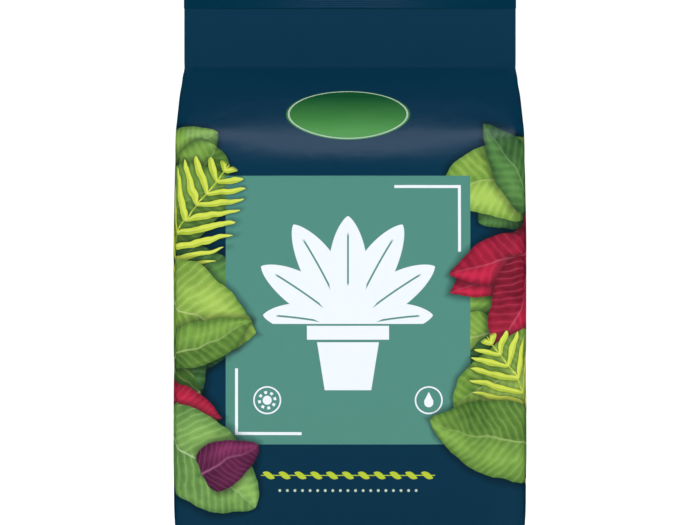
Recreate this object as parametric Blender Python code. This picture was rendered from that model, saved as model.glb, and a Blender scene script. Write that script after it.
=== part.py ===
"""A filled ten-litre bag of potting mix: one sealed pack of printed film, standing on its base.

Metres, +Z up. The origin is the middle of the flat base. +X runs across the front panel and
-Y is the front. The film, its fill and its welded seals are one closed solid.
"""
from math import cos, pi, sin, sqrt

import bmesh
import bpy

# Outside sizes of the filled bag.
BAG_HEIGHT = 0.480
BODY_WIDTH = 0.280
BODY_DEPTH = 0.100
NECK_WIDTH = 0.271      # the flattened head, a little narrower than the filled body
FIN_THICKNESS = 0.002   # the welded layers of film above the shoulder

# Heights at which the form changes.
FOLD_SHOULDER = 0.357   # the four upright folds stay vertical up to here
CROWN_SHOULDER = 0.330  # the slack middle of each panel starts to lean in lower down
NECK = 0.413            # front and back meet, and the flat head starts
TUCK_CLOSED = 0.407     # the side tucks are pinched shut here

# How the film lies between its folds.
BASE_ROUNDING = 0.014
FOLD_RADIUS = 0.011
PANEL_CROWN = 0.005     # how far the middle of a panel stands out past its folds
CROWN_POWER = 2.6       # flatness of the panel across its width
CROWN_FALL = 1.6        # it leans in slowly at first, and steepest at the neck
BASE_TUCK = 0.012       # how deep the side folds are drawn in at the base
BASE_TUCK_HEIGHT = 0.055

# Fineness of the loft.
PANEL_STEPS = 5
FOLD_STEPS = 4
GUSSET_STEPS = 3
ROUNDING_STEPS = 4
BODY_STATIONS = 7
SHOULDER_STATIONS = 12

FILM_NAVY = (0.0035, 0.035, 0.07, 1.0)


def smooth(t):
    """0 to 1 with level ends, for t from 0 to 1."""
    t = min(1.0, max(0.0, t))
    return t * t * (3 - 2 * t)


def fold_half_width(z):
    """Half of the width between the two front folds."""
    lean = min(1.0, max(0.0, (z - FOLD_SHOULDER) / (NECK - FOLD_SHOULDER)))
    return BODY_WIDTH / 2 + (NECK_WIDTH - BODY_WIDTH) / 2 * lean


def fold_half_depth(z):
    """Half of the depth from the front folds to the back ones: upright, then a straight lean."""
    upright = BODY_DEPTH / 2 - PANEL_CROWN
    lean = min(1.0, max(0.0, (z - FOLD_SHOULDER) / (NECK - FOLD_SHOULDER)))
    return upright + (FIN_THICKNESS / 2 - upright) * lean


def crown_half_depth(z):
    """Half of the depth between the middles of the two panels."""
    lean = min(1.0, max(0.0, (z - CROWN_SHOULDER) / (NECK - CROWN_SHOULDER))) ** CROWN_FALL
    return BODY_DEPTH / 2 + (FIN_THICKNESS / 2 - BODY_DEPTH / 2) * lean


def tuck_depth(z):
    """How far the middle fold of each side lies inside the upright folds."""
    gusset = BODY_DEPTH / 2 - PANEL_CROWN
    folded = sqrt(max(0.0, gusset ** 2 - fold_half_depth(z) ** 2))
    pinch = 1 - smooth((z - FOLD_SHOULDER) / (TUCK_CLOSED - FOLD_SHOULDER))
    at_base = BASE_TUCK * (1 - smooth(z / BASE_TUCK_HEIGHT))
    return folded * pinch + at_base


def quarter(z, inset):
    """Points of the front right quarter, from the middle of the front to the side's middle fold."""
    width = fold_half_width(z) - inset
    depth = fold_half_depth(z) - inset
    crown = crown_half_depth(z) - inset
    radius = min(FOLD_RADIUS, 0.9 * depth)
    flat = width - radius
    points = []
    for step in range(PANEL_STEPS):
        across = step / PANEL_STEPS
        points.append((flat * across, -(crown + (depth - crown) * across ** CROWN_POWER)))
    for step in range(FOLD_STEPS + 1):
        turn = step / FOLD_STEPS * pi / 2
        points.append((flat + radius * sin(turn), -(depth - radius) - radius * cos(turn)))
    for step in range(1, GUSSET_STEPS + 1):
        along = step / GUSSET_STEPS
        points.append((width - tuck_depth(z) * along, -(depth - radius) * (1 - along)))
    return points


def section(z, inset=0.0):
    """The closed outline at height z, all the way round, with every side brought in by inset."""
    front_right = quarter(z, inset)
    back_right = [(x, -y) for x, y in reversed(front_right[:-1])]
    right = front_right + back_right
    left = [(-x, y) for x, y in reversed(right[1:-1])]
    return [(x, y, z) for x, y in right + left]


def stations():
    """(height, inset) of every section, from the base to the top edge."""
    rows = []
    for step in range(ROUNDING_STEPS + 1):
        turn = step / ROUNDING_STEPS * pi / 2
        rows.append((BASE_ROUNDING * (1 - cos(turn)), BASE_ROUNDING * (1 - sin(turn))))
    for step in range(1, BODY_STATIONS + 1):
        rows.append((BASE_ROUNDING + (CROWN_SHOULDER - BASE_ROUNDING) * step / BODY_STATIONS, 0.0))
    for step in range(1, SHOULDER_STATIONS + 1):
        rows.append((CROWN_SHOULDER + (NECK - CROWN_SHOULDER) * step / SHOULDER_STATIONS, 0.0))
    rows.append(((NECK + BAG_HEIGHT) / 2, 0.0))
    rows.append((BAG_HEIGHT, 0.0))
    return rows


def film_material():
    """Dark printed film with a soft satin gloss."""
    material = bpy.data.materials.new("navy_film")
    material.use_nodes = True
    shader = material.node_tree.nodes["Principled BSDF"]
    shader.inputs["Base Color"].default_value = FILM_NAVY
    shader.inputs["Roughness"].default_value = 0.42
    shader.inputs["Metallic"].default_value = 0.0
    material.diffuse_color = FILM_NAVY
    return material


def filled_bag():
    """Extrudes the base outline from station to station, setting each new ring on its section."""
    rows = stations()
    solid = bmesh.new()
    base = solid.faces.new([solid.verts.new(point) for point in section(*rows[0])])
    top = base
    for height, inset in rows[1:]:
        top = bmesh.ops.extrude_discrete_faces(solid, faces=[top])["faces"][0]
        for vertex, point in zip(top.verts, section(height, inset)):
            vertex.co = point
    bmesh.ops.holes_fill(solid, edges=[edge for edge in solid.edges if edge.is_boundary])
    bmesh.ops.recalc_face_normals(solid, faces=solid.faces)
    mesh = bpy.data.meshes.new("filled_bag")
    solid.to_mesh(mesh)
    solid.free()
    mesh.shade_smooth()
    mesh.set_sharp_from_angle(angle=pi / 5)
    mesh.materials.append(film_material())
    bag = bpy.data.objects.new("filled_bag", mesh)
    bpy.context.scene.collection.objects.link(bag)
    return bag


for leftover in list(bpy.data.objects):
    bpy.data.objects.remove(leftover)

filled_bag()
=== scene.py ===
from math import cos, pi, radians, sin, sqrt

import bmesh
import bpy
import numpy as np
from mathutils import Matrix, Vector


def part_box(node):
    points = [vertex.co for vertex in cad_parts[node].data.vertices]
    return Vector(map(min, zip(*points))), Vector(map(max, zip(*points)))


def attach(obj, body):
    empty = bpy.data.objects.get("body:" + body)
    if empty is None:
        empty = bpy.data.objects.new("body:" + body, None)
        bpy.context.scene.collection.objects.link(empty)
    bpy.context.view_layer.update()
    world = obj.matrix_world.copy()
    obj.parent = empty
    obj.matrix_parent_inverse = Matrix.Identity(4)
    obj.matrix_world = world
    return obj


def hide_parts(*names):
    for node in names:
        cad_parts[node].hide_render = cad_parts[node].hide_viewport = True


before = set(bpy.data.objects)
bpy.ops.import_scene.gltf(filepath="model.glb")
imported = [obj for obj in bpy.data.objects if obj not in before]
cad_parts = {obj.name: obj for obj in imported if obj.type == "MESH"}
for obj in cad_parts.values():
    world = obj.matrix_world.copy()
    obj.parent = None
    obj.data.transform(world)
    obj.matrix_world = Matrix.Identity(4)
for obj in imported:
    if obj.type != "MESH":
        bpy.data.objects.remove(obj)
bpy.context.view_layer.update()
bagLow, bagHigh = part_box("filled_bag")
print("frame loaded")


def smooth(t):
    t = np.clip(t, 0.0, 1.0)
    return t * t * (3 - 2 * t)


def ink(red, green, blue):    # a printed colour, as 0 to 255, made linear
    parts = []
    for part in (red, green, blue):
        share = part / 255
        parts.append(share / 12.92 if share <= 0.04045 else ((share + 0.055) / 1.055) ** 2.4)
    return (*parts, 1.0)


film = {
    "height": bagHigh.z,
    "halfWidth": bagHigh.x,
    "halfDepth": bagHigh.y,
    "neckHalfWidth": 0.1360,     # the flattened head is a little narrower
    "halfThickness": 0.0006,     # two layers of film, four at the tucks
    "foldShoulder": 0.357,       # the upright folds lean in from about here
    "foldBend": 0.09,            # how gently they start to lean
    "crownShoulder": 0.330,      # the slack middle of a panel leans in from lower down
    "crownFall": 1.6,
    "neck": 0.413,               # front and back meet here
    "tuckClosed": 0.4105,
    "tuckPinch": 0.005,          # the tucks close over this height
    "baseRounding": 0.014,
    "baseLift": 0.0006,          # room for the folded seal under the base
    "foldRadius": 0.011,
    "foldSpare": 0.02,           # the subdivision rounds a tucked fold inwards by about this share
    "crown": 0.005,              # the middle of a panel stands out past its folds
    "crownPower": 2.6,
    "baseTuck": 0.012,
    "baseTuckHeight": 0.055,
    "columns": (32, 4, 9),       # over half a panel, a rounded fold and half a side
    "rows": 132,
    "neckEase": 5,               # rows beside the neck's that are shifted with it
}
film["foldHalfDepth"] = film["halfDepth"] - film["crown"]
film["parts"] = (film["halfWidth"] - film["foldRadius"], film["foldRadius"] * pi / 2,
                 film["foldHalfDepth"] - film["foldRadius"])
film["quarter"] = sum(film["parts"])


def hinge(t, bend):    # 0, then a straight rise to 1, with a gentle bend between them
    rise = (t + np.sqrt(t * t + bend * bend)) / 2
    full = (1 + sqrt(1 + bend * bend)) / 2
    return np.clip(rise / full, 0, 1)


def leaning(z):    # 0 on the upright body, 1 at the neck
    rise = film["neck"] - film["foldShoulder"]
    bend = film["foldBend"]
    start = hinge(-film["foldShoulder"] / rise, bend)
    return np.clip((hinge((z - film["foldShoulder"]) / rise, bend) - start) / (1 - start), 0, 1)


def foldDepth(z):
    return film["foldHalfDepth"] + (film["halfThickness"] - film["foldHalfDepth"]) * leaning(z)


def crownDepth(z):
    t = np.clip((z - film["crownShoulder"]) / (film["neck"] - film["crownShoulder"]), 0, 1)
    return film["halfDepth"] + (film["halfThickness"] - film["halfDepth"]) * t ** film["crownFall"]


heights = np.linspace(0, film["height"], 2000)
foldPath = np.concatenate([[0], np.cumsum(np.hypot(np.diff(heights), np.diff(foldDepth(heights))))])
film["topRun"] = foldPath[-1]    # film length up an upright fold, and on to the head
film["neckRun"] = float(np.interp(film["neck"], heights, foldPath))
film["baseEdge"] = film["baseRounding"] * (1 - pi / 2)
film["baseRun"] = film["baseEdge"] - (film["halfDepth"] - film["baseRounding"])


def quarterOutline(z):    # places at each column, from the middle of the front to the side's fold
    depth = float(foldDepth(z))
    width = film["halfWidth"] + (film["neckHalfWidth"] - film["halfWidth"]) * float(leaning(z))
    crown = float(crownDepth(z))
    folded = sqrt(max(0.0, film["foldHalfDepth"] ** 2 - depth ** 2))
    pinch = 1 - float(smooth((z - film["tuckClosed"]) / film["tuckPinch"] + 1))
    tuck = folded * pinch + film["baseTuck"] * float(1 - smooth(z / film["baseTuckHeight"]))
    radius = min(film["foldRadius"], 0.9 * depth)
    width += film["foldSpare"] * tuck
    flat = width - radius
    overPanel, overFold, overSide = film["columns"]
    across = np.linspace(0, 1, overPanel + 1)
    turn = np.linspace(0, pi / 2, overFold + 1)[1:]
    along = np.linspace(0, 1, overSide + 1)[1:]
    x = np.concatenate([flat * across, flat + radius * np.sin(turn), width - tuck * along])
    y = np.concatenate([
        -(crown + (depth - crown) * across ** film["crownPower"]),
        -(depth - radius) - radius * np.cos(turn),
        -(depth - radius) * (1 - along),
    ])
    return x, y


def roundBag(column):    # film length round the bag from the middle of the front, at a column
    edges = np.concatenate([[0], np.cumsum(film["columns"])])
    lengths = np.concatenate([[0], np.cumsum(film["parts"])])
    quarter = int(edges[-1])
    count = min(abs(column), 2 * quarter)
    run = np.interp(min(count, quarter), edges, lengths)
    if count > quarter:
        run = 2 * lengths[-1] - np.interp(2 * quarter - count, edges, lengths)
    return float(run) if column > 0 else -float(run)


def rowPlace(run):    # height, squeeze to the middle line and inset, from the film length upwards
    rounding = film["baseRounding"]
    if run < film["baseEdge"]:    # under the base
        return 0.0, (film["baseEdge"] - run) / (film["halfDepth"] - rounding), rounding
    if run < rounding:
        turn = (run - film["baseEdge"]) / rounding
        return rounding * (1 - cos(turn)), 0.0, rounding * (1 - sin(turn))
    return float(np.interp(run, foldPath, heights)), 0.0, 0.0


def rowRun(row):    # film length at a row of the mesh, with one row right on the neck
    runs = film["topRun"] - film["baseRun"]
    run = film["baseRun"] + row / film["rows"] * runs
    atNeck = round((film["neckRun"] - film["baseRun"]) / runs * film["rows"])
    shift = film["neckRun"] - film["baseRun"] - atNeck / film["rows"] * runs
    return run + shift * max(0, 1 - abs(row - atNeck) / film["neckEase"])


def buildFilm():
    bm = bmesh.new()
    quarter = sum(film["columns"])
    bmesh.ops.create_grid(bm, x_segments=4 * quarter, y_segments=film["rows"], size=0.5)
    printMap = bm.loops.layers.uv.new("printMap")
    for face in bm.faces:    # the print is laid out in metres: round the bag, and up it
        for loop in face.loops:
            column = round(loop.vert.co.x * 4 * quarter)
            loop[printMap].uv = (roundBag(column), rowRun(round((loop.vert.co.y + 0.5) * film["rows"])))
    rows = {}
    for vert in bm.verts:
        rows.setdefault(round((vert.co.y + 0.5) * film["rows"]), []).append(vert)
    for row, verts in rows.items():
        z, squeeze, inset = rowPlace(rowRun(row))
        if row == film["rows"]:
            squeeze = 1.0    # the cut edge at the top is closed
        x, y = quarterOutline(z)
        for vert in verts:
            column = round(vert.co.x * 4 * quarter)
            count = min(abs(column), 2 * quarter - abs(column))
            across = x[count] - inset * smooth(x[count] / film["halfWidth"])
            outward = y[count] + inset * smooth(-y[count] / film["foldHalfDepth"])
            onRight = 1 if column > 0 else -1
            onFront = -1 if abs(column) > quarter else 1
            vert.co = (across * onRight, outward * onFront * (1 - squeeze), max(z, film["baseLift"]))
    bmesh.ops.remove_doubles(bm, verts=bm.verts, dist=0.00005)
    bmesh.ops.recalc_face_normals(bm, faces=bm.faces)
    creased = bm.edges.layers.float.new("crease_edge")
    for edge in bm.edges:    # the film turns sharply where the head is pressed flat
        if all(abs(vert.co.z - film["neck"]) < 0.0002 for vert in edge.verts):
            edge[creased] = 1.0
            edge.smooth = False
    for face in bm.faces:
        face.smooth = True
    return link("printed_film", bm)


def link(name, bm):
    mesh = bpy.data.meshes.new(name)
    bm.to_mesh(mesh)
    bm.free()
    piece = bpy.data.objects.new(name, mesh)
    bpy.context.scene.collection.objects.link(piece)
    return piece


settling = {
    "frames": 22,
    "quality": 6,
    "pressure": 1.6,
    "slack": 0.016,              # the share of film over what the full shape needs
    "mass": 0.25,
    "stretch": 30,
    "shear": 12,
    "bending": 0.08,
    "held": 0.003,               # held below this height, and this far above the neck
    "frontCap": 0.0010,          # how far the neat front and back may move
    "shoulderCap": 0.00018,
    "tuckCap": 0.0040,
    "sideCap": 0.004,
    "foldCap": 0.0004,
    "lowShare": 0.7,             # how much of the side's freedom the base has
    "past": 0.003,               # no point goes further than this past the bag's box
    "side": (0.118, 0.02),       # each part starts at the first number and fades in over the second
    "sideEnd": (0.024, 0.012),
    "shoulder": (0.27, 0.05),
    "lowEnd": (0.01, 0.06),
    "neck": (0.380, 0.025),
    "tuckEnd": (0.35, 0.4),      # these two are shares of the fold's half depth
    "foldFront": (0.45, 0.3),
    "fold": (0.112, 0.016),
}


def rising(value, place):    # from 0 to 1 over one of the spans named above
    start, span = settling[place]
    return smooth((value - start) / span)


def moveCap(rest):    # how far each point may move
    z = rest[:, 2]
    across = np.abs(rest[:, 0])
    outward = np.abs(rest[:, 1])
    toFold = outward / foldDepth(z)
    onSide = rising(across, "side") * (1 - rising(outward, "sideEnd"))
    low = (1 - rising(z, "lowEnd")) * settling["lowShare"]
    cap = settling["frontCap"] + (settling["sideCap"] - settling["frontCap"]) * np.maximum(onSide, low)
    inTuck = 1 - rising(toFold, "tuckEnd")
    flank = settling["shoulderCap"] + (settling["tuckCap"] - settling["shoulderCap"]) * inTuck
    cap = cap + (flank - cap) * rising(z, "shoulder")
    cap = cap + (settling["shoulderCap"] - cap) * rising(z, "neck")
    nearFold = rising(across, "fold") * rising(toFold, "foldFront")
    return cap + (settling["foldCap"] - cap) * nearFold    # the folds keep the outline


def settleFilm(piece):    # a short cloth pass puts slack and creases in the film, then is applied
    scene = bpy.context.scene
    mesh = piece.data
    count = len(mesh.vertices)
    rest = np.zeros(count * 3)
    mesh.vertices.foreach_get("co", rest)
    rest = rest.reshape(-1, 3)
    held = piece.vertex_groups.new(name="held")
    for index, (x, y, z) in enumerate(rest):
        if z > film["neck"] + settling["held"] or z < settling["held"]:
            held.add([index], 1.0, "REPLACE")
    cloth = piece.modifiers.new("settling", "CLOTH")
    cloth.settings.quality = settling["quality"]
    cloth.settings.mass = settling["mass"]
    cloth.settings.tension_stiffness = settling["stretch"]
    cloth.settings.compression_stiffness = settling["stretch"]
    cloth.settings.shear_stiffness = settling["shear"]
    cloth.settings.bending_stiffness = settling["bending"]
    cloth.settings.shrink_min = -settling["slack"]
    cloth.settings.shrink_max = -settling["slack"]
    cloth.settings.use_pressure = True
    cloth.settings.uniform_pressure_force = settling["pressure"]
    cloth.settings.effector_weights.gravity = 0
    cloth.settings.vertex_group_mass = "held"
    cloth.collision_settings.use_collision = False
    cloth.point_cache.frame_start = 1
    cloth.point_cache.frame_end = settling["frames"]
    scene.frame_start = 1
    scene.frame_end = settling["frames"]
    for number in range(1, settling["frames"] + 1):
        scene.frame_set(number)
    settled = piece.evaluated_get(bpy.context.evaluated_depsgraph_get()).to_mesh()
    moved = np.zeros(count * 3)
    settled.vertices.foreach_get("co", moved)
    moved = moved.reshape(-1, 3) - rest
    piece.modifiers.remove(cloth)
    piece.vertex_groups.remove(held)
    scene.frame_set(1)
    cap = moveCap(rest)
    size = np.linalg.norm(moved, axis=1)
    allowed = cap * np.tanh(size / cap)
    place = rest + moved * (allowed / np.maximum(size, 1e-9))[:, None]
    print("film moved by up to", round(float(allowed.max()) * 1000, 1), "mm")
    wide = film["halfWidth"] + settling["past"]
    deep = film["halfDepth"] + settling["past"]
    place[:, 0] = np.clip(place[:, 0], -wide, wide)
    place[:, 1] = np.clip(place[:, 1], -deep, deep)
    place[:, 2] = np.clip(place[:, 2], film["baseLift"], film["height"])
    mesh.vertices.foreach_set("co", place.ravel())
    mesh.update()


filmPiece = buildFilm()
print("film built")
settleFilm(filmPiece)
finer = filmPiece.modifiers.new("finer", "SUBSURF")
finer.levels = 1
finer.render_levels = 1
print("film settled")

weld = {
    "halfWidth": film["neckHalfWidth"] + 0.0002,
    "low": 0.4615,
    "high": 0.4765,
    "thickness": 0.0026,
    "ribs": 9,
    "ribHeight": 0.00014,
}
seam = {
    "halfWidth": 0.006,
    "low": 0.012,
    "high": 0.460,
    "rise": 0.00022,
    "thickness": 0.0003,
    "spare": 0.0005,             # the last column of film may be this much further in
}
baseSeal = {
    "halfWidth": 0.124,
    "low": -0.006,
    "high": 0.006,
    "thickness": 0.0010,
    "ribs": 6,
    "ribHeight": 0.0001,
}


def crimped(bar):    # a flat upright bar with ribs pressed along it, still unlinked
    tall = bar["high"] - bar["low"]
    bm = bmesh.new()
    bmesh.ops.create_cube(bm, size=2)
    flat = bar["thickness"] / 2 - bar["ribHeight"]
    bmesh.ops.scale(bm, vec=(bar["halfWidth"], flat, tall / 2), verts=bm.verts)
    bmesh.ops.translate(bm, vec=(0, 0, bar["low"] + tall / 2), verts=bm.verts)
    upright = [e for e in bm.edges if abs(e.verts[0].co.z - e.verts[1].co.z) > tall / 2]
    bmesh.ops.subdivide_edges(bm, edges=upright, cuts=bar["ribs"] * 4 - 1, use_grid_fill=True)
    for vert in bm.verts:
        wave = sin(pi * bar["ribs"] * (vert.co.z - bar["low"]) / tall) ** 2
        vert.co.y += bar["ribHeight"] * wave * (1 if vert.co.y > 0 else -1)
    bmesh.ops.recalc_face_normals(bm, faces=bm.faces)
    for face in bm.faces:
        face.smooth = abs(face.normal.x) < 0.5
    return bm


def buildHeadWeld():
    return link("head_weld", crimped(weld))


def buildBaseSeal():    # turned to lie under the base
    bm = crimped(baseSeal)
    for vert in bm.verts:
        vert.co = (vert.co.x, vert.co.z, baseSeal["thickness"] / 2 - vert.co.y)
    return link("base_seal", bm)


def buildBackSeam():    # the tube's lap: one edge of the film laid over the other and welded
    depsgraph = bpy.context.evaluated_depsgraph_get()
    bm = bmesh.new()
    bm.from_mesh(filmPiece.evaluated_get(depsgraph).to_mesh())
    printMap = bm.loops.layers.uv["printMap"]
    edge = 2 * film["quarter"] - seam["halfWidth"] - seam["spare"]
    top = seam["high"] + film["neckRun"] - film["neck"]
    away = []
    for face in bm.faces:
        spot = face.loops[0][printMap].uv
        u = min(abs(loop[printMap].uv.x) for loop in face.loops)
        if u < edge or not seam["low"] < spot.y < top:
            away.append(face)
    bmesh.ops.delete(bm, geom=away, context="FACES")
    bmesh.ops.remove_doubles(bm, verts=bm.verts, dist=0.00002)
    for vert in bm.verts:
        vert.co += vert.normal * seam["rise"]
    bmesh.ops.solidify(bm, geom=bm.faces, thickness=-seam["thickness"])
    bmesh.ops.recalc_face_normals(bm, faces=bm.faces)
    return link("back_seam", bm)


headWeld = buildHeadWeld()
backSeam = buildBackSeam()
sealBar = buildBaseSeal()
for piece in (filmPiece, headWeld, backSeam, sealBar):
    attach(piece, "root")
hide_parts("filled_bag")
print("seams and welds built")


class Field:    # a number or colour somewhere in a material, to be used in ordinary sums
    def __init__(self, socket):
        self.socket = socket

    def make(self, kind, settings, inputs, output=0):
        tree = self.socket.id_data
        node = tree.nodes.new(kind)
        for name, value in settings.items():
            setattr(node, name, value)
        for name, value in inputs.items():
            if isinstance(value, Field):
                tree.links.new(value.socket, node.inputs[name])
            else:
                node.inputs[name].default_value = value
        return Field(node.outputs[output])

    def maths(self, operation, *others, clamp=False):
        settings = {"operation": operation, "use_clamp": clamp}
        return self.make("ShaderNodeMath", settings, dict(enumerate((self, *others))))

    def after(self, operation, other):    # for a plain number that comes first
        return self.make("ShaderNodeMath", {"operation": operation}, {0: other, 1: self})

    def __add__(self, other):
        return self.maths("ADD", other)

    def __radd__(self, other):
        return self.after("ADD", other)

    def __sub__(self, other):
        return self.maths("SUBTRACT", other)

    def __rsub__(self, other):
        return self.after("SUBTRACT", other)

    def __mul__(self, other):
        return self.maths("MULTIPLY", other)

    def __rmul__(self, other):
        return self.after("MULTIPLY", other)

    def __truediv__(self, other):
        return self.maths("DIVIDE", other)

    def __rtruediv__(self, other):
        return self.after("DIVIDE", other)

    def __pow__(self, other):
        return self.maths("POWER", other)

    def __abs__(self):
        return self.maths("ABSOLUTE")

    def scaled(self, factor, shift):    # self * factor + shift in one node
        return self.maths("MULTIPLY_ADD", factor, shift)

    def share(self, factor, shift):    # the same, kept from 0 to 1
        return self.maths("MULTIPLY_ADD", factor, shift, clamp=True)

    def least(self, other):
        return self.maths("MINIMUM", other)

    def most(self, other):
        return self.maths("MAXIMUM", other)

    def noise(self, scale, detail, output=0, distortion=0.0):
        inputs = {"Vector": self, "Scale": scale, "Detail": detail, "Distortion": distortion}
        return self.make("ShaderNodeTexNoise", {}, inputs, output)

    def colours(self, first, second, amount):
        return self.make("ShaderNodeMix", {"data_type": "RGBA"}, {0: amount, 6: first, 7: second}, 2)

    def under(self, colour, mask):    # this colour with another one printed over it
        return self.make("ShaderNodeMix", {"data_type": "RGBA"}, {0: mask, 6: self, 7: colour}, 2)


inks = {
    "navy": ink(0, 53, 75),
    "panel": ink(84, 145, 127),
    "white": ink(246, 250, 247),
    "pale": ink(196, 214, 186),
    "lime": ink(190, 208, 48),
    "badge": ink(14, 84, 42),
    "badgeLight": ink(78, 156, 66),
    "shadow": ink(4, 22, 26),
}
foliage = {    # dark side, light side, ribs
    "green": (ink(48, 90, 30), ink(138, 180, 76), ink(186, 208, 128)),
    "fresh": (ink(74, 124, 36), ink(176, 208, 92), ink(216, 230, 152)),
    "deep": (ink(20, 60, 34), ink(96, 146, 72), ink(150, 182, 114)),
    "lime": (ink(140, 170, 28), ink(218, 230, 78), ink(234, 240, 140)),
    "crimson": (ink(92, 10, 30), ink(208, 38, 72), ink(232, 112, 130)),
    "purple": (ink(56, 14, 44), ink(140, 50, 96), ink(176, 102, 136)),
    "striped": (ink(52, 102, 46), ink(146, 190, 94), ink(222, 236, 186)),
}
shapes = {    # how the two edges swell from the stalk and close at the tip, and the side ribs
    "lance": {"swell": 0.62, "close": 0.85, "ribs": 13, "relief": 0.09, "veins": 0.30},
    "broad": {"swell": 0.50, "close": 0.66, "ribs": 17, "relief": 0.10, "veins": 0.40},
    "heart": {"swell": 0.24, "close": 0.74, "ribs": 11, "relief": 0.10, "veins": 0.45},
    "coin": {"swell": 0.5, "close": 0.5, "ribs": 7, "relief": 0.08, "veins": 0.30},
}
leafLook = {
    "midrib": 0.0010,            # how wide the middle rib is
    "litEdge": 0.0012,           # one half of a leaf catches more light from here
    "lit": 0.20,
    "sheen": 0.34,
    "sheenAt": 0.45,             # the sheen runs along the middle of the lit half
    "sheenFall": 2.6,
    "rim": 0.45,                 # the rim is this much of the full tone
    "rimWidth": 0.008,
    "start": 0.28,               # so is the leaf's start, which brightens towards the tip
    "brighten": 1.5,
    "ribSlant": 0.75,
    "ribWander": 3.0,
    "ribCrest": (7, -6.2),       # only the crests of the waves show as ribs
    "ribStart": 0.85,            # ribs are clearest at the start and fade to the tip
    "ribFade": 0.75,
    "mottle": 0.55,
    "broadMottle": 1.15,
    "mottleShift": -0.42,
    "shadow": 0.62,
    "wobble": 0.0065,            # how far the outlines wander
    "wobbleScale": 30.0,
}
sprigs = {
    "pairs": 11,
    "slant": 0.9,
    "fatness": 0.52,
    "outline": 0.42,             # how the pairs shorten to both ends
    "swell": 0.35,               # how a leaflet swells from the stalk and closes at its tip
    "close": 0.6,
    "stalk": 0.0005,
    "midrib": 0.5,
    "shadowWidth": 0.005,
    "shadow": 0.5,
    "lit": 0.45,
    "sheen": 0.3,
}
shadowReach = 0.0070    # how wide the drawn shadow round a leaf is
panel = {
    "halfWidth": 0.0970,
    "low": 0.1090,
    "high": 0.3220,
    "bracketInset": 0.0086,
    "bracketLine": 0.0023,
    "bracketArm": 0.0528,
}
printShift = 0.0016    # the front's print sits a little to the left
sharp = 0.00030    # how soft a printed edge is


def motif(shape, colours, at, heading, length, width, bend=0.0):
    return {"shape": shape, "colours": colours, "at": at, "heading": heading,
            "length": length, "width": width, "bend": bend}


behindPanel = [
    motif("coin", "deep", (-0.150, 0.300), 60, 0.062, 0.060),
    motif("broad", "green", (-0.182, 0.300), 36, 0.094, 0.052, -0.18),
    motif("coin", "fresh", (-0.158, 0.318), 100, 0.036, 0.035),
    motif("coin", "green", (-0.128, 0.306), 62, 0.046, 0.045),
    motif("broad", "green", (-0.196, 0.262), 28, 0.120, 0.066, -0.20),
    motif("heart", "deep", (-0.150, 0.240), -14, 0.092, 0.076, 0.12),
    motif("broad", "deep", (-0.176, 0.176), 22, 0.104, 0.060, 0.15),
    motif("broad", "deep", (-0.190, 0.112), 52, 0.118, 0.064, 0.15),
    motif("heart", "green", (-0.120, 0.150), 200, 0.090, 0.078, 0.10),
    motif("broad", "deep", (0.186, 0.338), 212, 0.100, 0.054, 0.18),
    motif("broad", "fresh", (0.192, 0.318), 184, 0.124, 0.064, 0.22),
    motif("lance", "deep", (0.175, 0.285), 130, 0.105, 0.044, -0.20),
    motif("broad", "deep", (0.200, 0.225), 172, 0.115, 0.066, -0.20),
    motif("coin", "green", (0.122, 0.226), 170, 0.050, 0.048),
    motif("coin", "fresh", (0.118, 0.198), 190, 0.040, 0.039),
    motif("coin", "deep", (0.136, 0.186), 215, 0.050, 0.049),
    motif("broad", "deep", (0.205, 0.120), 120, 0.110, 0.054, 0.15),
]
overPanel = [
    motif("sprig", "lime", (-0.168, 0.215), 58, 0.138, 0.078, -0.22),
    motif("heart", "fresh", (-0.162, 0.228), -20, 0.094, 0.080, 0.16),
    motif("lance", "green", (-0.162, 0.178), 18, 0.090, 0.036, 0.20),
    motif("lance", "crimson", (-0.168, 0.152), -18, 0.070, 0.034, 0.18),
    motif("broad", "striped", (-0.181, 0.127), -32, 0.128, 0.070, -0.18),
    motif("heart", "purple", (-0.118, 0.086), 28, 0.052, 0.036, 0.1),
    motif("lance", "crimson", (0.178, 0.291), 212, 0.116, 0.048, -0.22),
    motif("lance", "crimson", (0.182, 0.262), 190, 0.104, 0.044, 0.18),
    motif("heart", "crimson", (0.162, 0.248), 236, 0.082, 0.064, 0.12),
    motif("broad", "fresh", (0.190, 0.180), 200, 0.116, 0.060, 0.20),
    motif("sprig", "lime", (0.170, 0.078), 118, 0.132, 0.078, 0.24),
    motif("broad", "green", (0.178, 0.108), 170, 0.116, 0.064, -0.20),
]
onSides = [
    motif("broad", "fresh", (0.205, 0.250), 80, 0.100, 0.050, 0.20),
    motif("lance", "crimson", (0.196, 0.190), 60, 0.095, 0.040, -0.20),
    motif("heart", "green", (0.215, 0.150), 250, 0.085, 0.066, 0.12),
    motif("heart", "green", (-0.208, 0.300), 280, 0.085, 0.068, 0.12),
    motif("lance", "crimson", (-0.200, 0.140), 110, 0.095, 0.040, 0.20),
    motif("broad", "deep", (-0.215, 0.075), 60, 0.090, 0.048, -0.18),
    motif("broad", "green", (-0.214, 0.215), 96, 0.090, 0.048, 0.16),
]


def swelling(swell, close):    # the height of a leaf's outline before it is scaled to its width
    both = swell + close
    return (swell / both) ** swell * (close / both) ** close


def leafFrame(u, v, leaf):    # places along and across a leaf, with its length as 1
    turn = radians(leaf["heading"])
    right, up = cos(turn) / leaf["length"], sin(turn) / leaf["length"]
    u0, v0 = leaf["at"]
    along = u.scaled(right, v.scaled(up, -u0 * right - v0 * up))
    across = u.scaled(-up, v.scaled(right, u0 * up - v0 * right))
    rest = 1 - along
    rise = along * rest
    across = rise.scaled(leaf["bend"], across)
    return along, rest, rise, across


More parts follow.
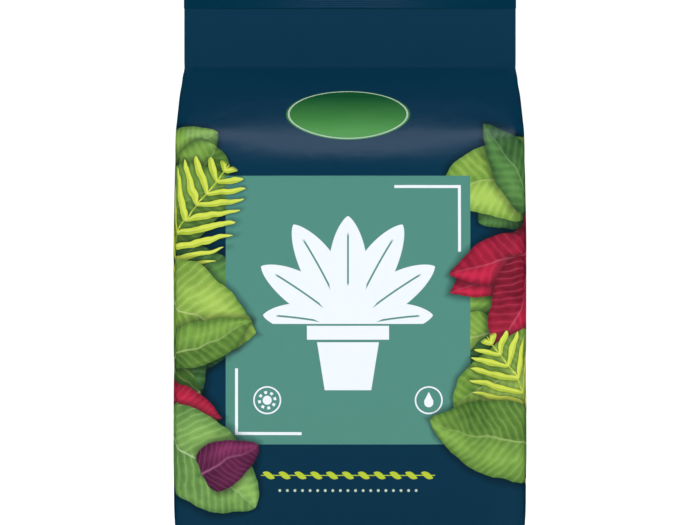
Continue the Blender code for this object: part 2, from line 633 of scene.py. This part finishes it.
def printLeaf(colour, u, v, grain, leaf):
    shape = shapes[leaf["shape"]]
    dark, light, rib = foliage[leaf["colours"]]
    size = leaf["length"]
    along, rest, rise, across = leafFrame(u, v, leaf)
    widest = leaf["width"] / 2 / size / swelling(shape["swell"], shape["close"])
    half = along ** shape["swell"] * (rest ** shape["close"]) * widest
    side = abs(across)
    edge = half - side
    mask = edge.share(size / sharp, 0)
    shade = (rise.least(0) + edge).share(size / shadowReach, 1)
    ribs = shape["ribs"] * 2 * pi
    wander = along.scaled(ribs, grain * leafLook["ribWander"])
    stripes = side.scaled(-leafLook["ribSlant"] * ribs, wander).maths("SINE")
    lit = across.share(size / leafLook["litEdge"], 0.5)
    sheen = abs(side / half.most(0.001) - leafLook["sheenAt"]).share(-leafLook["sheenFall"], 1) * lit
    tone = stripes.scaled(shape["relief"], grain)
    tone = lit.scaled(leafLook["lit"], sheen.scaled(leafLook["sheen"], tone))
    rim = edge.share(size / leafLook["rimWidth"], leafLook["rim"])
    tone = rim * along.share(leafLook["brighten"], leafLook["start"]) * tone
    inside = u.colours(dark, light, tone)
    steep, shift = leafLook["ribCrest"]
    sideRibs = stripes.share(steep * shape["veins"], shift * shape["veins"])
    midrib = side.share(-size / leafLook["midrib"], 1.1)
    fading = along.share(-leafLook["ribFade"], leafLook["ribStart"])
    inside = inside.under(rib, midrib.most(sideRibs) * fading)
    return colour.under(inks["shadow"], shade * leafLook["shadow"]).under(inside, mask)


def printSprig(colour, u, v, grain, leaf):    # a stalk with pairs of narrow leaflets
    dark, light, rib = foliage[leaf["colours"]]
    size = leaf["length"]
    count = sprigs["pairs"]
    along, rest, rise, across = leafFrame(u, v, leaf)
    outline = sprigs["outline"]
    widest = leaf["width"] / 2 / size / swelling(outline, outline)
    side = abs(across)
    out = side / ((rise.most(0.0001) ** outline) * widest)    # 0 at the stalk, 1 at the leaflets' tips
    step = side.scaled(-sprigs["slant"] * count, along * count).maths("FRACT") - 0.5
    half = out ** sprigs["swell"] * ((1 - out) ** sprigs["close"]) * sprigs["fatness"]
    edge = half - abs(step)
    within = rise.share(60, 0)    # nothing is drawn past the ends of the stalk
    stalk = side.share(-size / sprigs["stalk"], 1.6) * within
    mask = (edge.share(size / count / sharp, 0) * within).most(stalk)
    shade = edge.share(size / count / sprigs["shadowWidth"], 1) * within * out.share(-5, 5.8)
    tone = step.share(14, 0.5).scaled(sprigs["lit"], out.scaled(sprigs["sheen"], grain))
    inside = u.colours(dark, light, tone).under(rib, abs(step).share(-18, 1) * sprigs["midrib"])
    return colour.under(inks["shadow"], shade * sprigs["shadow"]).under(inside, mask)


def spanOf(leaf):    # from where to where a leaf and its shadow reach, across the print
    sprigShape = {"swell": sprigs["outline"], "close": sprigs["outline"]}
    shape = shapes.get(leaf["shape"], sprigShape)
    t = np.linspace(0, 1, 60)
    half = t ** shape["swell"] * (1 - t) ** shape["close"]
    half = half / half.max() * leaf["width"] / 2 + shadowReach
    turn = radians(leaf["heading"])
    spine = leaf["at"][0] + leaf["length"] * (cos(turn) * t + sin(turn) * leaf["bend"] * t * (1 - t))
    reach = abs(sin(turn)) * half
    spare = 0.002
    return (spine - reach).min() - spare, (spine + reach).max() + spare


def printMotifs(colour, u, v, grain, motifs, low, high):
    for leaf in motifs:    # only those that reach into this part of the print
        start, end = spanOf(leaf)
        if end > low and start < high:
            draw = printSprig if leaf["shape"] == "sprig" else printLeaf
            colour = draw(colour, u, v, grain, leaf)
    return colour


def boxDistance(u, v, at, halfSize):    # above 0 outside a rectangle
    return (abs(u - at[0]) - halfSize[0]).most(abs(v - at[1]) - halfSize[1])


def roundDistance(u, v, at, radius, squash):
    flat = (v - at[1]) * (1 / squash)
    return ((u - at[0]) ** 2 + flat ** 2).maths("SQRT") - radius


def inked(distance):    # a printed shape from its distance
    return distance.share(-1 / sharp, 0.5)


pictogram = {    # a plain potted plant in white
    "base": 0.202,
    "leaves": [    # heading, length, width and bend, from the middle outwards
        (90, 0.088, 0.031, 0.0),
        (62, 0.092, 0.030, -0.10),
        (35, 0.084, 0.028, -0.10),
        (8, 0.068, 0.024, -0.10),
    ],
    "outline": 0.72,             # how pointed the leaves are
    "vein": 0.00055,             # half of the bare line along each leaf
    "veinEnd": 0.82,
    "leafCut": 0.2045,           # the leaves end above the rim
    "potLow": 0.152,
    "potHigh": 0.190,
    "potHalf": 0.0245,
    "potTaper": 0.16,
    "rim": 0.1975,
    "rimHalf": (0.0325, 0.0055),
}
smallMarks = {
    "at": (0.0640, 0.1440),
    "radius": 0.0105,
    "line": 0.0012,
    "sun": 0.0036,
    "rays": 8,
    "raysAt": 0.0062,
    "rayHalf": 0.0011,
    "drop": 0.0036,
    "dropLow": 0.0020,
    "dropTaper": 0.52,
    "dropHalf": 0.0034,
}
ornament = {
    "height": 0.0845,
    "half": 0.0690,
    "pitch": 0.01255,
    "leafHalf": 0.0026,
    "point": 110.0,              # how soon a leaf of the garland narrows
    "tilt": 0.45,
    "stalk": 0.00035,
    "dotPitch": 0.0060,
    "dotHalf": 0.0570,
    "dotRadius": 0.0011,
    "dotDrop": 0.0120,
}
badge = {
    "at": (0.0, 0.376),
    "radius": 0.050,
    "squash": 0.50,
    "fade": 0.036,               # it goes from light to dark green over this height
    "lineInset": 0.0022,
    "line": 0.0014,
}


def printPlant(colour, u, v):
    mirrored = abs(u)
    outline = pictogram["outline"]
    white = None
    for heading, length, width, bend in pictogram["leaves"]:
        leaf = motif("lance", "green", (0.0, pictogram["base"]), heading, length, width, bend)
        along, rest, rise, across = leafFrame(u if bend == 0 else mirrored, v, leaf)
        half = (rise.most(0) ** outline) * (width / 2 / length / swelling(outline, outline))
        side = abs(across)
        pastVein = along.share(30, -30 * pictogram["veinEnd"])
        besideVein = side.share(length / sharp, -pictogram["vein"] / sharp).most(pastVein)
        shape = (half - side).share(length / sharp, 0) * besideVein
        white = shape if white is None else white.most(shape)
    low, high = pictogram["potLow"], pictogram["potHigh"]
    taper = v.scaled(pictogram["potTaper"], pictogram["potHalf"] - high * pictogram["potTaper"])
    pot = inked((mirrored - taper).most(abs(v - (low + high) / 2) - (high - low) / 2))
    rim = inked(boxDistance(u, v, (0, pictogram["rim"]), pictogram["rimHalf"]))
    white = white * inked(pictogram["leafCut"] - v)
    return colour.under(inks["white"], white.most(pot).most(rim))


def printSmallMarks(colour, u, v):    # a sun on one side, a drop on the other, each in a ring
    across, up = smallMarks["at"]
    du = abs(u) - across
    dv = v - up
    away = (du ** 2 + dv ** 2).maths("SQRT")
    ring = inked(abs(away - smallMarks["radius"]) - smallMarks["line"] / 2)
    turns = du.maths("ARCTAN2", dv).scaled(smallMarks["rays"], 0).maths("SINE")
    rays = inked(abs(away - smallMarks["raysAt"]) - smallMarks["rayHalf"]) * turns.share(6, 0)
    sun = inked(away - smallMarks["sun"]).most(rays)
    bowl = (du ** 2 + (dv + smallMarks["dropLow"]) ** 2).maths("SQRT") - smallMarks["drop"]
    peak = abs(du) + dv.scaled(smallMarks["dropTaper"], -smallMarks["dropHalf"])
    drop = inked(bowl.least(peak.most(-smallMarks["dropLow"] / 2 - dv)))
    left = u.share(-1 / sharp, 0)
    mark = sun * left + drop * (1 - left)
    return colour.under(inks["white"], ring.most(mark))


def printPanel(colour, u, v):    # a plain panel with a bracket in two of its corners
    wide = panel["halfWidth"]
    tall = (panel["high"] - panel["low"]) / 2
    up = v - (panel["high"] + panel["low"]) / 2
    away = boxDistance(u, up, (0, 0), (wide, tall))
    colour = colour.under(inks["panel"], inked(away))
    line = abs(away + panel["bracketInset"]) - panel["bracketLine"] / 2
    arm = panel["bracketArm"] / 2
    margin = panel["bracketInset"] - panel["bracketLine"] / 2 + arm
    upper = boxDistance(u, up, (wide - margin, tall - margin), (arm, arm))
    lower = boxDistance(u, up, (margin - wide, margin - tall), (arm, arm))
    return colour.under(inks["white"], inked(line.most(upper.least(lower))))


def printOrnament(colour, u, v):    # a garland of small leaves over a row of dots
    pitch = ornament["pitch"]
    step = (u.scaled(1 / pitch, 0.5).maths("FRACT") - 0.5) * pitch
    up = v - ornament["height"]
    tilted = up + step * ornament["tilt"]
    leaf = abs(tilted) + step ** 2 * ornament["point"] - ornament["leafHalf"]
    stalk = abs(up) - ornament["stalk"]
    garland = leaf.least(stalk).most(abs(u) - ornament["half"])
    colour = colour.under(inks["lime"], inked(garland))
    dotPitch = ornament["dotPitch"]
    along = (u.scaled(1 / dotPitch, 0.5).maths("FRACT") - 0.5) * dotPitch
    drop = v - (ornament["height"] - ornament["dotDrop"])
    dot = (along ** 2 + drop ** 2).maths("SQRT") - ornament["dotRadius"]
    return colour.under(inks["pale"], inked(dot.most(abs(u) - ornament["dotHalf"])))


def printBadge(colour, u, v):
    away = roundDistance(u, v, badge["at"], badge["radius"], badge["squash"])
    shine = v.share(1 / badge["fade"], 0.5 - badge["at"][1] / badge["fade"])
    colour = colour.under(u.colours(inks["badgeLight"], inks["badge"], shine), inked(away))
    line = inked(abs(away + badge["lineInset"]) - badge["line"] / 2)
    return colour.under(inks["pale"], line)


surface = {
    "roughness": 0.31,
    "specular": 0.30,
    "lumps": 0.0006,             # heights in metres
    "lumpScale": 26.0,
    "creases": 0.0003,
    "creaseScale": 60.0,
    "creaseWarp": 0.8,
    "mottleScale": 130.0,
    "broadMottleScale": 24.0,
}
sideStart = 0.078    # the middle of the front ends here
backStart = 0.262
zones = [    # each part of the film has its own print, made of what reaches into it
    ("film_front_middle", -sideStart, sideStart),
    ("film_front_left", -backStart, -sideStart),
    ("film_front_right", sideStart, backStart),
]


def printedColour(place, low, high):    # all the print from low to high across the film
    parts = place.make("ShaderNodeSeparateXYZ", {}, {"Vector": place}).socket.node.outputs
    u, v = Field(parts["X"]), Field(parts["Y"])
    broad = place.noise(surface["broadMottleScale"], 3.0)
    broad = broad.scaled(leafLook["broadMottle"], leafLook["mottleShift"])
    grain = place.noise(surface["mottleScale"], 3.0).scaled(leafLook["mottle"], broad)
    wobble = place.noise(leafLook["wobbleScale"], 2.5, "Color")
    shifts = wobble.make("ShaderNodeSeparateColor", {}, {"Color": wobble}).socket.node.outputs
    reach = leafLook["wobble"]
    leafU = u + Field(shifts["Red"]).scaled(2 * reach, -reach)
    leafV = v + Field(shifts["Green"]).scaled(2 * reach, -reach)
    across = u + printShift
    colour = place.make("ShaderNodeRGB", {}, {})
    colour.socket.default_value = inks["navy"]
    colour = printMotifs(colour, leafU, leafV, grain, behindPanel, low, high)
    colour = printPanel(colour, across, v)
    if low < 0 < high:
        colour = printPlant(colour, across, v)
        colour = printSmallMarks(colour, across, v)
        colour = printOrnament(colour, across, v)
        colour = printBadge(colour, across, v)
    return printMotifs(colour, leafU, leafV, grain, onSides + overPanel, low, high)


def filmShader(name, low=None, high=None):    # satin film, plain navy unless it is told where it lies
    material = bpy.data.materials.new(name)
    material.use_nodes = True
    tree = material.node_tree
    shader = tree.nodes["Principled BSDF"]
    shader.inputs["Base Color"].default_value = inks["navy"]
    shader.inputs["Roughness"].default_value = surface["roughness"]
    shader.inputs["Specular IOR Level"].default_value = surface["specular"]
    if low is not None:
        uvNode = tree.nodes.new("ShaderNodeUVMap")
        uvNode.uv_map = "printMap"
        colour = printedColour(Field(uvNode.outputs["UV"]), low, high)
        tree.links.new(colour.socket, shader.inputs["Base Color"])
    coords = tree.nodes.new("ShaderNodeTexCoord")
    spot = Field(coords.outputs["Object"])
    lumps = spot.noise(surface["lumpScale"], 3.0)
    creases = spot.noise(surface["creaseScale"], 2.0, distortion=surface["creaseWarp"])
    height = lumps.scaled(surface["lumps"], abs(creases - 0.5) * surface["creases"])
    bump = height.make("ShaderNodeBump", {}, {"Strength": 1.0, "Distance": 1.0, "Height": height})
    tree.links.new(bump.socket, shader.inputs["Normal"])
    return material


for name, low, high in zones:
    filmPiece.data.materials.append(filmShader(name, low, high))
plainFilm = filmShader("film_back")
filmPiece.data.materials.append(plainFilm)
printMap = filmPiece.data.uv_layers["printMap"].data
for face in filmPiece.data.polygons:
    middle = sum(printMap[loop].uv.x for loop in face.loop_indices) / face.loop_total
    face.material_index = len(zones)
    for number, (name, low, high) in enumerate(zones):
        if low <= middle < high:
            face.material_index = number
for piece in (headWeld, backSeam, sealBar):
    piece.data.materials.clear()
    piece.data.materials.append(plainFilm)
print("print laid out", [len(m.node_tree.nodes) for m in filmPiece.data.materials])


studio = {
    "cameraHeight": 0.253,
    "cameraDistance": 1.5,
    "lens": 94.0,
    "floorRadius": 1.6,
    "floorColour": 0.92,
    "floorGlow": 0.50,
    "floorRoughness": 0.9,
    "world": 0.23,
    "background": 1.05,          # what the camera sees past the floor
    "aim": (0, 0, 0.25),
    "keyAim": (0, 0, 0.33),
    "keyColour": (0.72, 0.79, 1),
    "frontColour": (1, 0.98, 0.94),
    "white": (1, 1, 1),
}
keys = [    # long soft lights over the front and back: name, place, size, power
    ("key_front", (0, -1.14, 1.45), (1.9, 0.80), 14),
    ("key_back", (0, 1.14, 1.45), (1.9, 0.74), 12.5),
]
frontFills = [
    ("fill_front_left", (-1.5, -1.9, 0.45), (0.9, 0.9), 7.6),
    ("fill_front_right", (1.5, -1.9, 0.45), (0.9, 0.9), 7.6),
]
otherFills = [
    ("fill_back", (0, 2.4, 0.45), (1.4, 1.0), 18),
    ("fill_left", (-2.2, 0.3, 0.6), (1.2, 1.0), 8),
    ("fill_right", (2.2, 0.3, 0.6), (1.2, 1.0), 8),
]


def buildFloor():
    bm = bmesh.new()
    bmesh.ops.create_circle(bm, cap_ends=True, radius=studio["floorRadius"], segments=96)
    floor = link("floor", bm)
    material = bpy.data.materials.new("floor_white")
    material.use_nodes = True
    shader = material.node_tree.nodes["Principled BSDF"]
    shader.inputs["Base Color"].default_value = (*[studio["floorColour"]] * 3, 1)
    shader.inputs["Roughness"].default_value = studio["floorRoughness"]
    shader.inputs["Specular IOR Level"].default_value = 0.0
    shader.inputs["Emission Color"].default_value = (1, 1, 1, 1)
    shader.inputs["Emission Strength"].default_value = studio["floorGlow"]
    floor.data.materials.append(material)
    floor.visible_glossy = False


def areaLights(lamps, aim, colour, glossy):
    for name, place, size, power in lamps:
        lamp = bpy.data.lights.new(name, "AREA")
        lamp.shape = "RECTANGLE"
        lamp.size, lamp.size_y = size
        lamp.energy = power
        lamp.color = colour
        light = bpy.data.objects.new(name, lamp)
        bpy.context.scene.collection.objects.link(light)
        light.location = place
        light.rotation_euler = (Vector(aim) - Vector(place)).to_track_quat("-Z", "Y").to_euler()
        light.visible_camera = False
        light.visible_glossy = glossy


def lightWorld():    # white to the camera, dimmer as light, and not mirrored in the film
    world = bpy.data.worlds.new("studio")
    bpy.context.scene.world = world
    world.use_nodes = True
    sky = world.node_tree.nodes["Background"]
    seen = world.node_tree.nodes.new("ShaderNodeLightPath")
    dim = studio["world"]
    strength = Field(seen.outputs["Is Camera Ray"]).scaled(studio["background"] - dim, dim)
    world.node_tree.links.new(strength.socket, sky.inputs["Strength"])
    sky.inputs["Color"].default_value = (1, 1, 1, 1)
    world.cycles_visibility.glossy = False


def placeCamera():    # level, a little above the middle of the bag
    lens = bpy.data.cameras.new("camera")
    lens.lens = studio["lens"]
    lens.sensor_width = 36
    lens.sensor_fit = "HORIZONTAL"
    lens.clip_start = 0.02
    camera = bpy.data.objects.new("camera", lens)
    bpy.context.scene.collection.objects.link(camera)
    camera.location = (0, -studio["cameraDistance"], studio["cameraHeight"])
    camera.rotation_euler = (radians(90), 0, 0)
    bpy.context.scene.camera = camera


buildFloor()
areaLights(keys, studio["keyAim"], studio["keyColour"], True)
areaLights(frontFills, studio["aim"], studio["frontColour"], False)
areaLights(otherFills, studio["aim"], studio["white"], False)
lightWorld()
placeCamera()
bpy.context.scene.view_settings.view_transform = "Standard"
bpy.context.scene.view_settings.look = "None"
print("studio lit")

print("scene ready")
